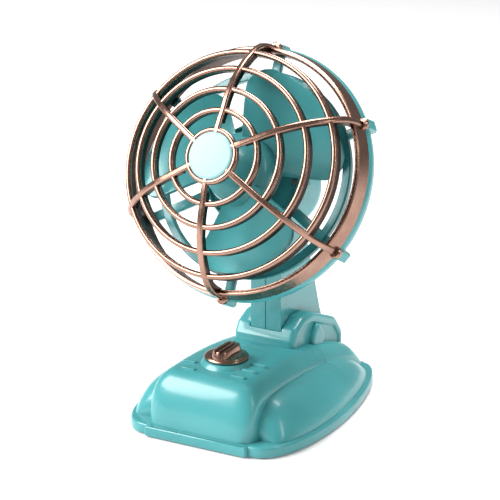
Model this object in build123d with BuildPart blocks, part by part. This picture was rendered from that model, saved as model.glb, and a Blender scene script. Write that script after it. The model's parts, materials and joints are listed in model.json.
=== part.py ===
"""Desk fan: a caged head on a deep neck that tilts in a saddle on a rounded base.

Frame: millimetres, +Z up, -Y the front that the air leaves from, +X to the right
seen from the front. The origin is on the table, under the middle of the base.
Head pieces are drawn on planes of the head's own axis, where a depth is measured
forward of the grille hoop's front edge.
"""
import os
from math import cos, pi, radians, sin

from build123d import *

os.makedirs("parts", exist_ok=True)

# ---------------------------------------------------------------- driving dimensions
# base
base_length = 106.0       # front bar to rear bar
bar_half = 23.2           # half the width of the straight front and rear bars
bar_step = 1.8            # how far the front bar stands out from the flange beside it
flange_height = 4.9
flange_bottom = 0.6       # gap between the flange and the table
ledge = 1.3               # flat ledge between the flange edge and the body above it
hood_half = 24.0          # half the width of the middle hood
hood_top = 27.0           # highest point of the hood
hood_round = 7.0          # radius along the hood's long top edges
fender_bulge = 16.8       # how far the flange swells past the hood at each side
fender_rise = 15.0        # height of the fender crease above the flange
base_wall = 1.8
plate_thickness = 1.8
foot_radius = 4.0
# knob and switch
knob_y = -26.7
knob_radius = 9.0
knob_height = 4.6
collar_height = 29.0      # top of the cone that the knob stands on
switch_shaft_radius = 1.5
tick_rise = 0.35          # speed marks beside the knob
# batteries
cell_radius = 7.25        # AA cell
cell_length = 50.5
cell_pitch = 16.0
bay_y = -21.5             # middle of the battery bay
# neck, saddle and tilt pivot
neck_width = 14.0
neck_drum = 18.5          # radius of the neck's round lower end
neck_wall = 1.6
neck_face = 6.0           # Y of the neck's upright front face
pivot_z = 21.8
pin_radius = 2.0
saddle_half = 14.0
saddle_well = 12.4        # half the width of the saddle below the hood's surface
washer_thickness = 0.6
# head
head_tilt = 25.6          # degrees that the head aims up
head_y = -13.2            # middle of the grille hoop's front edge
head_z = 103.7
hoop_radius = 50.0        # at its front edge
hoop_flare = 1.0          # how much wider the hoop is at its rear edge
hoop_depth = 6.5
hoop_wall = 1.6
rib_count = 6
rib_width = 2.0
rib_depth = 3.0
bead = 1.8                # width of a grille ring
cap_radius = 9.3
rim_depth = 5.0           # of the rear guard's rim behind the hoop
blade_count = 3
blade_radius = 41.0
blade_thickness = 1.4
hub_radius = 14.5
shaft_radius = 1.0
motor_radius = 10.2
motor_length = 25.0
sleeve_length = 16.0      # soft sleeve that holds the motor in its pod
pod_radius = 17.0
pod_wall = 1.8
pod_corner = 9.0          # radius round the rear end of the pod

# ---------------------------------------------------------------- fits and places
snug = 0.1                # clearance of a piece that seats in another
loose = 0.3               # clearance of a piece that moves past another
running = 0.05            # radial clearance of a shaft or pin in its bush
half_length = base_length / 2
plate_top = flange_bottom + plate_thickness
pivot_y = neck_face + neck_drum
slot_half = neck_width / 2 + loose
tilt = radians(head_tilt)
head_centre = Vector(0, head_y, head_z)
head = Plane(origin=head_centre, x_dir=(1, 0, 0), z_dir=(0, -cos(tilt), sin(tilt)))
head_axis = Axis(head_centre, head.z_dir)
pivot = Plane(origin=(0, pivot_y, pivot_z), x_dir=(0, 1, 0), z_dir=(1, 0, 0))
rib_angles = [30 + 360 / rib_count * i for i in range(rib_count)]
guard_back = -hoop_depth - rim_depth - 0.5      # rear face of the rear guard
motor_front = guard_back - 2.5
pod_rear = motor_front - motor_length - pod_wall - 3.7


def meridian(angle):
    """Plane through the head axis: local x is the radius, local y is forward."""
    a = radians(angle)
    out = head.x_dir * cos(a) + head.y_dir * sin(a)
    return Plane(origin=head_centre, x_dir=out, z_dir=out.cross(head.z_dir))


def section(y):
    """Upright plane across the base at y: local x is X and local y is up."""
    return Plane(origin=(0, y, 0), x_dir=(1, 0, 0), z_dir=(0, -1, 0))


def export(part, name):
    part.label = name
    export_step(part, f"parts/{name}.step")


# ---------------------------------------------------------------- base outline
flange_middle = -8.0      # where the flange is widest
hood_end = half_length - 1.4
brow = 11.6               # length of the rounded front end of the hood
tail = 9.6                # length of its rounded rear end


def flange_reach(y):
    """How far the swelling runs forward or back of its middle, and its roundness there."""
    if y < flange_middle:
        return half_length - bar_step + flange_middle, 2.3
    return half_length - 1.0 - flange_middle, 1.7


def flange_half_width(y):
    reach, power = flange_reach(y)
    share = min(abs(y - flange_middle) / reach, 1.0)
    return hood_half + fender_bulge * (1 - share**power) ** (1 / power)


def base_slab(low, high, inset):
    """The base outline between two heights, drawn in by inset."""
    steps = 6
    edge = []
    for step in range(2 * steps + 1):
        t = pi / 2 * step / steps
        side = -1 if step < steps else 1
        reach, power = flange_reach(flange_middle + side)
        out = abs(sin(t)) ** (2 / power) * fender_bulge
        along = side * abs(cos(t)) ** (2 / power) * (reach - inset)
        edge.append((hood_half + out - inset, flange_middle + along))
    with BuildPart() as slab:
        with BuildSketch(Plane.XY.offset(low)):
            with BuildLine():
                Spline(*edge)
                Polyline(edge[-1], (0, edge[-1][1]), (0, edge[0][1]), edge[0])
            make_face()
            mirror(about=Plane.YZ)
            RectangleRounded(2 * (bar_half - inset), base_length - 2 * inset, 1.5)
        extrude(amount=high - low)
    return slab.part


# ---------------------------------------------------------------- hood and fenders
def hood_height(y):
    """Top line of the hood: a shallow arch, rolled over at both ends."""
    arch = hood_top - 0.0023 * (y - knob_y) ** 2
    reach, past = (brow, brow - hood_end - y) if y < 0 else (tail, y - hood_end + tail)
    share = min(max(past / reach, 0.0), 1.0)
    return arch * (1 - share**2.2) ** (1 / 2.2)


def hood_half_width(y):
    """Half width of the hood: straight sides with a rounded corner at each end."""
    corner, past = (5.0, 5.0 - hood_end - y) if y < 0 else (3.0, y - hood_end + 3.0)
    share = min(max(past / corner, 0.0), 1.0)
    return hood_half - corner * (1 - (1 - share**2) ** 0.5)


def crease_height(y):
    """Height of the fender's crease on the hood's side wall."""
    peak = -24.0
    reach, power = (half_length - 33.0, 3.0) if y < peak else (half_length + 15.0, 2.0)
    share = min(abs(y - peak) / reach, 1.0)
    return flange_height + fender_rise * (1 - share**power) ** (1 / power)


def hood_block(inset):
    """The hood as a solid down to the table, drawn in by inset on all sides but the bottom."""
    front, rear = brow - hood_end, hood_end - tail
    stations = [-hood_end + brow * (1 - cos(pi / 2 * i / 6)) for i in range(1, 6)]
    stations += [front + (rear - front) * i / 6 for i in range(7)]
    stations += [hood_end - tail * (1 - cos(pi / 2 * i / 5)) for i in range(4, 0, -1)]
    with BuildPart() as block:
        for y in stations:
            high = hood_height(y) - inset
            half = hood_half_width(y) - inset
            shift = inset if y < front - 0.1 else -inset if y > rear + 0.1 else 0
            with BuildSketch(section(y + shift)):
                with BuildLine():
                    FilletPolyline(
                        (-half, 0), (-half, high), (half, high), (half, 0),
                        radius=min(hood_round - inset, 0.6 * high),
                    )
                    Line((half, 0), (-half, 0))
                make_face()
        loft()
    return block.part


def fender_block(inset):
    """The right-hand fender as a solid down to the table, drawn in by inset."""
    start = hood_half - 2 * base_wall
    with BuildPart() as block:
        for share in (-0.829, -0.825, -0.81, -0.78, -0.72, -0.57, -0.42, -0.15, 0.19, 0.49, 0.68, 0.8):
            y = share * half_length
            high = crease_height(y) - inset
            out = flange_half_width(y) - ledge - inset
            shift = inset * (-sin(share * pi / 2))
            with BuildSketch(section(y + shift)):
                with BuildLine():
                    EllipticalCenterArc((start, 0), out - start, high, 0, arc_size=90)
                    Polyline((start, high), (start, 0), (out, 0))
                make_face()
        loft()
    return block.part


hood_outer = hood_block(0)
hood_inner = hood_block(base_wall)
fender_outer = fender_block(0)
fender_inner = fender_block(base_wall)
saddle_front = neck_face - 2.3
saddle_rear = pivot_y + neck_drum + 6.6
slot_rear = pivot_y + neck_drum + 1.8
well_front, well_rear = neck_face - 1.6, slot_rear + 1.6
screw_posts = [(x, y) for x in (-19, 19) for y in (8 - half_length, half_length - 6)]
post_radius = 3.0
screw_radius = 1.1

tick_places = [(-13.2, -33.0), (-10.0, -39.5), (13.0, -24.0), (12.6, -31.0), (11.6, -38.0)]

with BuildPart() as posts:
    with BuildSketch(Plane.XY.offset(plate_top)):
        with Locations(*screw_posts):
            Circle(post_radius)
    extrude(amount=hood_top)
    add(hood_outer, mode=Mode.INTERSECT)

with BuildPart() as saddle_space:
    with BuildSketch(Plane.XY):
        with Locations((0, (well_front + well_rear) / 2)):
            Rectangle(2 * saddle_well, well_rear - well_front)
    extrude(amount=40)

with BuildPart() as base_shell:
    add(base_slab(flange_bottom, flange_height, 0))
    add(hood_outer)
    add(fender_outer)
    add(fender_outer.mirror(Plane.YZ))
    with BuildSketch(section(0)):
        with Locations((0, flange_bottom / 2)):
            Rectangle(2 * half_length, flange_bottom)
    extrude(amount=half_length, both=True, mode=Mode.SUBTRACT)
    # the cone under the knob
    with BuildSketch(Plane(origin=(0, knob_y, 0), x_dir=(1, 0, 0), z_dir=(0, -1, 0))):
        Polygon(
            (0, 22), (11.5, 22), (11.2, hood_top - 1.2), (9.2, hood_top + 0.8),
            (7.4, collar_height), (0, collar_height), align=None,
        )
    revolve(axis=Axis((0, knob_y, 0), (0, 0, 1)))
    # hollow inside
    add(base_slab(0, flange_height - base_wall, base_wall), mode=Mode.SUBTRACT)
    add(hood_inner, mode=Mode.SUBTRACT)
    add(fender_inner, mode=Mode.SUBTRACT)
    add(fender_inner.mirror(Plane.YZ), mode=Mode.SUBTRACT)
    # window that the saddle drops into, and the hole for the switch shaft
    with BuildSketch(Plane.XY.offset(hood_top)):
        with Locations((0, (well_front + well_rear) / 2)):
            Rectangle(2 * (saddle_well + snug), well_rear - well_front + 2 * snug)
    extrude(amount=-hood_top + flange_height, mode=Mode.SUBTRACT)
    with BuildSketch(Plane.XY.offset(hood_top - 5)):
        with Locations((0, knob_y)):
            Circle(3.2)
    extrude(amount=8, mode=Mode.SUBTRACT)
    # posts for the base screws, from the plate up to the hood's roof
    add(posts.part)
    with BuildSketch(Plane.XY.offset(plate_top)):
        with Locations(*screw_posts):
            Circle(screw_radius)
    extrude(amount=7, mode=Mode.SUBTRACT)
    # raised speed marks: two on the left of the knob and three on the right
    for x, y in tick_places:
        with BuildSketch(Plane.XY.offset(hood_height(y) - 1)):
            with Locations((x, y)):
                SlotOverall(5.6, 1.0)
        extrude(amount=1 + tick_rise)
export(base_shell.part, "base_shell")

# ---------------------------------------------------------------- base plate and feet
bay_half_x = cell_length / 2 + 3.4
bay_half_y = (cell_pitch + 2 * cell_radius) / 2 + 1.2
hinge_y = bay_y + bay_half_y - 0.9
hinge_z = flange_bottom + plate_thickness / 2
knuckle_radius = 0.85
stub_radius = 0.6
foot_places = [(x, y) for x in (-26, 26) for y in (11 - half_length, half_length - 20)]

with BuildPart() as base_plate:
    add(base_slab(flange_bottom, plate_top, base_wall + snug))
    with BuildSketch(Plane.XY.offset(flange_bottom)):
        with Locations((0, bay_y)):
            Rectangle(2 * bay_half_x, 2 * bay_half_y)
        with Locations(*screw_posts):
            Circle(screw_radius + 0.15)
    extrude(amount=plate_thickness, mode=Mode.SUBTRACT)
    with BuildSketch(Plane.XY.offset(flange_bottom)):
        with Locations(*foot_places):
            Circle(foot_radius + snug)
        with Locations(*screw_posts):
            Circle(2.1)
    extrude(amount=plate_thickness / 2, mode=Mode.SUBTRACT)
    for side in (-1, 1):
        with Locations((side * (bay_half_x + 0.7), hinge_y, hinge_z)):
            Cylinder(stub_radius + running, 1.4, rotation=(0, 90, 0), mode=Mode.SUBTRACT)
export(base_plate.part, "base_plate")

with BuildPart() as battery_door:
    with BuildSketch(Plane.XY.offset(flange_bottom)):
        with Locations((0, (bay_y - bay_half_y + loose + hinge_y) / 2)):
            Rectangle(2 * (bay_half_x - loose), hinge_y - bay_y + bay_half_y - loose)
    extrude(amount=plate_thickness - 0.2)
    with Locations((0, hinge_y, hinge_z)):
        Cylinder(knuckle_radius, 2 * (bay_half_x - loose), rotation=(0, 90, 0))
        Cylinder(stub_radius, 2 * (bay_half_x + 1.1), rotation=(0, 90, 0))
    # finger grooves across the door
    with BuildSketch(Plane.XY.offset(flange_bottom)):
        with GridLocations(1, 2.0, 1, 4):
            with Locations((0, bay_y - bay_half_y + 7.0)):
                SlotOverall(16, 0.9)
    extrude(amount=0.4, mode=Mode.SUBTRACT)
export(battery_door.part, "battery_door")

with BuildPart() as rubber_feet:
    with BuildSketch(Plane.XY):
        with Locations(*foot_places):
            Circle(foot_radius)
    extrude(amount=flange_bottom + plate_thickness / 2)
    fillet(rubber_feet.faces().sort_by(Axis.Z)[:4].edges(), radius=0.4)
export(rubber_feet.part, "rubber_feet")


def screws(plane, places, length, head_radius, head_height, shank_radius):
    """Pan-head screws: heads on the plane, shanks along its normal."""
    with BuildPart() as group:
        for x, y in places:
            at = Plane(origin=plane.from_local_coords((x, y, 0)), x_dir=plane.x_dir, z_dir=plane.z_dir)
            with BuildSketch(at.offset(-head_height)):
                Circle(head_radius)
            extrude(amount=head_height)
            with BuildSketch(at.offset(-head_height)):
                Rectangle(2 * head_radius * 0.62, 0.45)
                Rectangle(0.45, 2 * head_radius * 0.62)
            extrude(amount=head_height / 2, mode=Mode.SUBTRACT)
            with BuildSketch(at):
                Circle(shank_radius)
            extrude(amount=length)
    return group.part


export(
    screws(Plane.XY.offset(flange_bottom + plate_thickness / 2), screw_posts, 7.0, 2.0, 0.8, screw_radius),
    "base_screws",
)

# ---------------------------------------------------------------- batteries and switch
cell_z = plate_top - 0.1 + cell_radius
cell_places = [bay_y - cell_pitch / 2, bay_y + cell_pitch / 2]
box_wall = 1.2
spring_gap = 2.2          # room for a contact at each end of a cell

with BuildPart() as battery_box:
    half_x, half_y = bay_half_x + box_wall, bay_half_y + box_wall
    with BuildSketch(Plane.XY.offset(plate_top)):
        with Locations((0, bay_y)):
            Rectangle(2 * half_x, 2 * half_y)
    extrude(amount=7.6)
    with BuildSketch(Plane.XY.offset(plate_top)):
        with Locations((0, bay_y)):
            Rectangle(2 * 21.0, 2 * half_y)
    extrude(amount=2 * cell_radius + 0.4 + box_wall)
    with BuildSketch(Plane.XY.offset(plate_top)):
        with Locations((0, bay_y)):
            Rectangle(2 * bay_half_x, 2 * bay_half_y)
    extrude(amount=2 * cell_radius + 0.4, mode=Mode.SUBTRACT)
    with BuildSketch(Plane.XY.offset(plate_top + 6.0)):
        with Locations((0, bay_y)):
            Rectangle(2 * 20.9, 1.0)
    extrude(amount=2 * cell_radius + 0.4 - 6.0)
export(battery_box.part, "battery_box")

with BuildPart() as battery_cells:
    for side, y in zip((-1, 1), cell_places):
        with BuildSketch(Plane(origin=(-side * cell_length / 2, y, cell_z), z_dir=(side, 0, 0))):
            Circle(cell_radius)
        extrude(amount=cell_length - 1.2)
        with BuildSketch(Plane(origin=(side * (cell_length / 2 - 1.2), y, cell_z), z_dir=(side, 0, 0))):
            Circle(2.7)
        extrude(amount=1.2)
export(battery_cells.part, "battery_cells")

contact_x = cell_length / 2
contact_thickness = 0.4
ring_length = (bay_half_x - contact_thickness - contact_x) / 3
with BuildPart() as battery_contacts:
    for side, y in ((-1, cell_places[0]), (1, cell_places[0]), (-1, cell_places[1]), (1, cell_places[1])):
        with Locations((side * (bay_half_x - contact_thickness / 2), y, plate_top + 5.2)):
            Box(contact_thickness, 9.0, 7.0)
    # conical springs on the flat ends of the cells
    for side, y in zip((-1, 1), cell_places):
        for ring in range(3):
            with Locations((-side * (contact_x + ring_length * (ring + 0.5)), y, cell_z - 2.0)):
                Cylinder(2.0 + 0.6 * ring, ring_length, rotation=(0, 90, 0))
                Cylinder(1.3 + 0.6 * ring, ring_length, rotation=(0, 90, 0), mode=Mode.SUBTRACT)
export(battery_contacts.part, "battery_contacts")

board_z = hood_top - base_wall - 5.4
with BuildPart() as switch_board:
    with BuildSketch(Plane.XY.offset(board_z)):
        with Locations((0, knob_y)):
            Rectangle(26, 20)
            Circle(switch_shaft_radius + loose, mode=Mode.SUBTRACT)
    extrude(amount=-1.0)
export(switch_board.part, "switch_board")

with BuildPart() as rotary_switch:
    with BuildSketch(Plane.XY.offset(board_z)):
        with Locations((0, knob_y)):
            RectangleRounded(13, 13, 1)
    extrude(amount=4.6)
    with BuildSketch(Plane.XY.offset(board_z + 4.6)):
        with Locations((0, knob_y)):
            Circle(3.0)
    extrude(amount=collar_height - board_z - 5.0)
    with BuildSketch(Plane.XY.offset(board_z + 1.0)):
        with Locations((0, knob_y)):
            Circle(switch_shaft_radius + running)
    extrude(amount=12, mode=Mode.SUBTRACT)
export(rotary_switch.part, "rotary_switch")

# ---------------------------------------------------------------- knob
knob_bottom = collar_height + loose
knob_bore = 2.8           # depth of the knob's socket for the shaft
with BuildPart() as speed_knob:
    with BuildSketch(Plane(origin=(0, knob_y, knob_bottom), x_dir=(1, 0, 0), z_dir=(0, -1, 0))):
        with BuildLine():
            Polyline((0, 2.6), (0, 0), (knob_radius - 0.6, 0), (knob_radius, 0.7))
            ThreePointArc((knob_radius, 0.7), (knob_radius * 0.72, 2.1), (0, 2.6))
        make_face()
    revolve(axis=Axis((0, knob_y, 0), (0, 0, 1)))
    # raised grip bar along the pointer direction, with grooves along its top
    with BuildSketch(Plane.XY.offset(knob_bottom)):
        with Locations((0, knob_y)):
            RectangleRounded(6.4, 2 * knob_radius - 1.6, 2.4)
    extrude(amount=knob_height)
    with BuildSketch(Plane.XY.offset(knob_bottom + knob_height)):
        with Locations(*[(x, knob_y) for x in (-1.7, 0, 1.7)]):
            SlotOverall(2 * knob_radius, 0.8, rotation=90)
    extrude(amount=-0.8, mode=Mode.SUBTRACT)
    with BuildSketch(Plane.XY.offset(knob_bottom)):
        with Locations((0, knob_y)):
            Circle(switch_shaft_radius)
    extrude(amount=knob_bore, mode=Mode.SUBTRACT)
export(speed_knob.part, "speed_knob")

with BuildPart() as switch_shaft:
    with BuildSketch(Plane.XY.offset(board_z + 1.0)):
        with Locations((0, knob_y)):
            Circle(switch_shaft_radius)
    extrude(amount=knob_bottom + knob_bore - board_z - 1.0)
export(switch_shaft.part, "switch_shaft")

# ---------------------------------------------------------------- saddle and tilt pivot
with BuildPart() as saddle:
    with BuildSketch(Plane.YZ):
        with BuildLine():
            crown = FilletPolyline(
                (saddle_front, 4), (saddle_front, 27.6), (saddle_front + 2.9, 32.2), (pivot_y - 10.5, 35.6),
                (pivot_y - 2.5, 35.4), (saddle_rear - 6.2, 26.6), (saddle_rear, 19.0), (saddle_rear, 4),
                radius=(1.2, 2.0, 6, 12, 9, 4),
            )
            Line(crown @ 1, crown @ 0)
        make_face()
    extrude(amount=saddle_half, both=True)
    side_faces = saddle.faces().filter_by(Axis.X)
    fillet(side_faces.edges().filter_by(lambda edge: edge.center().Z > 20), radius=2.0)
    add(hood_outer, mode=Mode.SUBTRACT)
    # the well below the hood's surface
    with BuildSketch(Plane.XY.offset(11.0)):
        with Locations((0, (well_front + well_rear) / 2)):
            Rectangle(2 * saddle_well, well_rear - well_front)
    extrude(amount=14.0)
    # arched boss over each end of the pin
    with BuildSketch(Plane(origin=(0, pivot_y, 0), x_dir=(0, 1, 0), z_dir=(1, 0, 0))):
        with BuildLine():
            Line((-4.6, 18), (-4.6, 24))
            ThreePointArc((-4.6, 24), (0, 28.6), (4.6, 24))
            Polyline((4.6, 24), (4.6, 18), (-4.6, 18))
        make_face()
    extrude(amount=saddle_half + 1.5, both=True)
    add(hood_outer - saddle_space.part, mode=Mode.SUBTRACT)
    # slot for the neck, and the bore for the pin
    with BuildSketch(Plane.XY):
        with Locations((0, (neck_face - loose + slot_rear) / 2)):
            Rectangle(2 * slot_half, slot_rear - neck_face + loose)
    extrude(amount=40, mode=Mode.SUBTRACT)
    with BuildSketch(pivot):
        Circle(pin_radius)
    extrude(amount=saddle_well + 1, both=True, mode=Mode.SUBTRACT)
export(saddle.part, "saddle")

with BuildPart() as tilt_pin:
    with BuildSketch(pivot):
        Circle(pin_radius - running)
    extrude(amount=saddle_well - 0.1, both=True)
    chamfer(tilt_pin.edges().filter_by(GeomType.CIRCLE), length=0.4)
export(tilt_pin.part, "tilt_pin")

washer_inner = neck_width / 2 + loose - washer_thickness
with BuildPart() as friction_washers:
    for side in (-1, 1):
        with BuildSketch(pivot.offset(side * (washer_inner + 0.05))):
            Circle(7.0)
            Circle(pin_radius + loose, mode=Mode.SUBTRACT)
        extrude(amount=side * (washer_thickness - 0.1))
export(friction_washers.part, "friction_washers")

# ---------------------------------------------------------------- neck and motor pod
neck_top = 88.0
seam_groove = 0.3


def neck_profile(inset):
    """Side view of the neck: a round drum with a tapering post that reaches the pod."""
    with BuildSketch(Plane.YZ) as side:
        with Locations((pivot_y, pivot_z)):
            Circle(neck_drum - inset)
        with BuildLine():
            front = neck_face + inset
            Polyline(
                (front, pivot_z), (front, neck_top - 8), (20.0, neck_top),
                (24.0 - inset, 76.0), (36.4 - inset, 43.5), (42.3 - inset, 26.0), (pivot_y, pivot_z - 5),
                (front, pivot_z),
            )
        make_face()
    return side.sketch


def pod_profile(inset):
    """Half outline of the motor pod in the head's meridian plane."""
    with BuildSketch(meridian(0)) as half:
        with BuildLine():
            rear = pod_rear + inset
            side = pod_radius - inset
            corner = pod_corner - inset
            Polyline((0, rear), (0, guard_back), (side, guard_back), (side, rear + corner))
            RadiusArc((side, rear + corner), (side - corner, rear), corner)
            Line((side - corner, rear), (0, rear))
        make_face()
    return half.sketch


guard_screw_radius = 0.8
guard_screw_reach = pod_radius + 1.6
neck_screw_places = [(13.0, 48.0), (17.0, 66.0)]
inner_ring = 0.772 * hoop_radius
motor_plate = guard_screw_reach + 2.4
spoke_width = 4.0
hub_front = 10.0
hub_back = -6.0
hub_tip = 3.0             # radius of the flat at the hub's tip
inner_rings = [(10.2, 28.5), (18.4, 26.7)]
outer_rings = [(0.542, 25.0), (0.726, 20.5), (0.892, 13.4)]
rings = inner_rings + [(share * hoop_radius, depth) for share, depth in outer_rings]
rib_line = rings + [(hoop_radius - 1.4, 9.2), (hoop_radius + 1.0, 3.0), (hoop_radius + 1.9, -hoop_depth)]
rib_back = [(0, rib_depth), (0.3, rib_depth), (0.9, rib_depth), (1.8, 2.6), (2.4, 2.2), (2.8, 1.6), (2.6, 0.4), (2.0, 0)]


def blade_solid(angle):
    """One paddle: a twisted plate cut to a rounded outline."""
    a = radians(angle)
    out = head.x_dir * cos(a) + head.y_dir * sin(a)
    across = head.y_dir * cos(a) - head.x_dir * sin(a)
    with BuildPart() as plate:
        for radius, pitch in ((hub_radius - 2.5, 30.0), (26.0, blade_pitch), (blade_radius + 1, 15.0)):
            p = radians(pitch)
            place = Plane(
                origin=head_centre + out * radius + head.z_dir * 1.0,
                x_dir=across * cos(p) + head.z_dir * sin(p),
                z_dir=out,
            )
            with BuildSketch(place):
                Rectangle(2.4 * radius * sin(radians(blade_spread / 2)), blade_thickness)
        loft()
        with BuildSketch(Plane(origin=head_centre - head.z_dir * 20, x_dir=out, z_dir=head.z_dir)):
            with BuildLine():
                half = radians(blade_spread / 2)
                near, far = hub_radius - 2.0, blade_radius
                root = 0.95
                corners = [
                    (near * cos(half * root), near * sin(half * root)),
                    (far * cos(half), far * sin(half)),
                    (far * 1.25, 0),
                    (far * cos(half), -far * sin(half)),
                    (near * cos(half * root), -near * sin(half * root)),
                ]
                outline = FilletPolyline(*corners, radius=(9, 20, 9))
                Line(outline @ 1, outline @ 0)
            make_face()
            Circle(blade_radius, mode=Mode.INTERSECT)
        extrude(amount=40, mode=Mode.INTERSECT)
    return plate.part


with BuildPart() as neck_left:
    extrude(neck_profile(0), amount=neck_width / 2, dir=(1, 0, 0))
    revolve(pod_profile(0), axis=head_axis)
    with BuildSketch(head.offset(guard_back)):
        with Locations((guard_screw_reach, 0)):
            Circle(2.6)
    extrude(amount=-7)
    # keep one side of the seam
    with BuildSketch(Plane.YZ):
        Rectangle(400, 400)
    extrude(amount=-60, mode=Mode.SUBTRACT)
    # hollow post, drum and pod
    extrude(neck_profile(neck_wall), amount=neck_width / 2 - neck_wall, dir=(1, 0, 0), mode=Mode.SUBTRACT)
    revolve(pod_profile(pod_wall), axis=head_axis, mode=Mode.SUBTRACT)
    # boss round the pin with its bore, and the washer's recess
    with BuildSketch(pivot):
        Circle(pin_radius + 2.2)
    extrude(amount=neck_width / 2)
    with BuildSketch(pivot):
        Circle(pin_radius)
    extrude(amount=neck_width / 2, mode=Mode.SUBTRACT)
    with BuildSketch(pivot.offset(washer_inner)):
        Circle(7.0 + snug)
    extrude(amount=washer_thickness, mode=Mode.SUBTRACT)
    # screw posts that close the two halves, and the guard screw's hole
    with BuildSketch(Plane.YZ):
        with Locations(*neck_screw_places):
            Circle(2.4)
    extrude(amount=neck_width / 2 - neck_wall / 2)
    with BuildSketch(Plane.YZ):
        with Locations(*neck_screw_places):
            Circle(guard_screw_radius)
    extrude(amount=4.5, mode=Mode.SUBTRACT)
    with BuildSketch(head.offset(guard_back)):
        with Locations((guard_screw_reach, 0)):
            Circle(guard_screw_radius)
    extrude(amount=-5.5, mode=Mode.SUBTRACT)
    # the groove that marks the seam down the front face
    with Locations((seam_groove / 2, neck_face, (pivot_z + neck_top) / 2)):
        Box(seam_groove, 2 * seam_groove, neck_top - pivot_z, mode=Mode.SUBTRACT)
export(neck_left.part, "neck_left")

with BuildPart() as neck_right:
    add(neck_left.part.mirror(Plane.YZ))
    # counterbores for the screw heads
    with BuildSketch(Plane.YZ.offset(-neck_width / 2)):
        with Locations(*neck_screw_places):
            Circle(1.7)
    extrude(amount=1.4, mode=Mode.SUBTRACT)
    with BuildSketch(Plane.YZ.offset(-neck_width / 2)):
        with Locations(*neck_screw_places):
            Circle(guard_screw_radius)
    extrude(amount=neck_width / 2, mode=Mode.SUBTRACT)
export(neck_right.part, "neck_right")

export(
    screws(
        Plane(origin=(-neck_width / 2 + 1.4, 0, 0), x_dir=(0, 1, 0), z_dir=(1, 0, 0)),
        neck_screw_places, neck_width / 2 + 2.5, 1.6, 1.2, guard_screw_radius,
    ),
    "neck_screws",
)

# ---------------------------------------------------------------- motor
with BuildPart() as motor_can:
    with BuildSketch(head.offset(motor_front)):
        Circle(motor_radius)
    extrude(amount=-motor_length)
    with BuildSketch(head.offset(motor_front)):
        Circle(3.0)
    extrude(amount=1.0)
    with BuildSketch(head.offset(motor_front - 1.2)):
        Circle(motor_radius - 1.0)
    extrude(amount=-motor_length, mode=Mode.SUBTRACT)
    with BuildSketch(head.offset(motor_front + 1.0)):
        Circle(2.0)
    extrude(amount=-3, mode=Mode.SUBTRACT)
export(motor_can.part, "motor_can")

with BuildPart() as motor_sleeve:
    with BuildSketch(head.offset(motor_front - 3)):
        Circle(pod_radius - pod_wall)
        Circle(motor_radius, mode=Mode.SUBTRACT)
    extrude(amount=-sleeve_length)
export(motor_sleeve.part, "motor_sleeve")

with BuildPart() as motor_bush:
    with BuildSketch(head.offset(motor_front + 1.0)):
        Circle(2.0)
        Circle(shaft_radius + running, mode=Mode.SUBTRACT)
    extrude(amount=-2.2)
export(motor_bush.part, "motor_bush")

with BuildPart() as motor_magnets:
    with BuildSketch(head.offset(motor_front - 4)):
        Circle(motor_radius - 1.0)
        Circle(motor_radius - 2.8, mode=Mode.SUBTRACT)
        Rectangle(60, 6, mode=Mode.SUBTRACT)
    extrude(amount=-15)
export(motor_magnets.part, "motor_magnets")

with BuildPart() as motor_end_bell:
    with BuildSketch(head.offset(motor_front - motor_length)):
        Circle(motor_radius - 1.0)
    extrude(amount=2.0)
    with BuildSketch(head.offset(motor_front - motor_length)):
        Circle(3.0)
        with Locations((-6, 0), (6, 0)):
            Rectangle(0.6, 2.4)
    extrude(amount=-1.6)
    with BuildSketch(head.offset(motor_front - motor_length + 2.0)):
        Circle(shaft_radius + running)
    extrude(amount=-3.0, mode=Mode.SUBTRACT)
export(motor_end_bell.part, "motor_end_bell")

with BuildPart() as motor_rotor:
    with BuildSketch(head.offset(motor_front - 4.5)):
        Circle(motor_radius - 3.4)
        with PolarLocations(motor_radius - 3.4, 3):
            Rectangle(3.0, 1.2, mode=Mode.SUBTRACT)
        Circle(shaft_radius, mode=Mode.SUBTRACT)
    extrude(amount=-14)
    with BuildSketch(head.offset(motor_front - 18.5)):
        Circle(2.6)
        Circle(shaft_radius, mode=Mode.SUBTRACT)
    extrude(amount=-2.6)
export(motor_rotor.part, "motor_rotor")

shaft_front = hub_front - 6.0
with BuildPart() as motor_shaft:
    with BuildSketch(head.offset(motor_front - motor_length)):
        Circle(shaft_radius)
    extrude(amount=shaft_front - motor_front + motor_length)
export(motor_shaft.part, "motor_shaft")

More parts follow.
